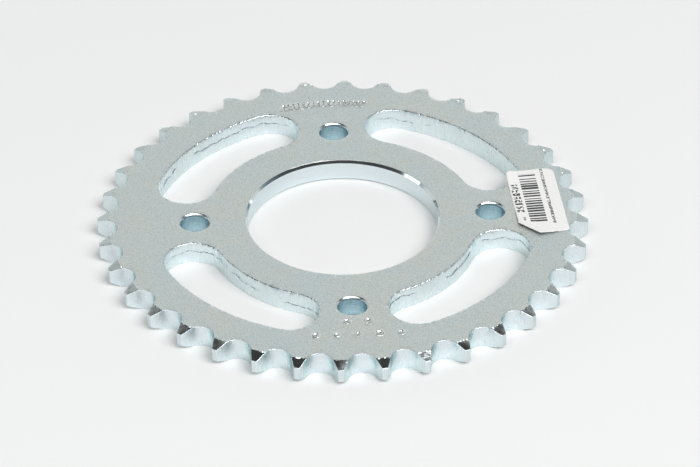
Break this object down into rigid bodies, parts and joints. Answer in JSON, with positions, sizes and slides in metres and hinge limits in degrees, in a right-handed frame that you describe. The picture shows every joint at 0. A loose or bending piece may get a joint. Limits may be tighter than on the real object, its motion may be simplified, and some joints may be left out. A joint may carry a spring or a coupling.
{
  "type": "rear sprocket",
  "caption": "Flat steel rear chain sprocket with a large centre bore, a bolt circle, kidney-shaped lightening slots, bevelled teeth and a paper bar-code style label.",
  "frame": {"origin": "wheel axis, in the plate's hub-side face", "axes": "+Z along the wheel axis away from the hub, +X and +Y through bolt holes"},
  "size_m": [0.149, 0.149, 0.0071],
  "materials": {
    "zinc_plated_steel": "satin blue-passivated zinc plating on stamped and machined steel",
    "label_paper": null
  },
  "bodies": {
    "root": {"sprocket_plate": "zinc_plated_steel", "paper_label": "label_paper"}
  },
  "joints": []
}
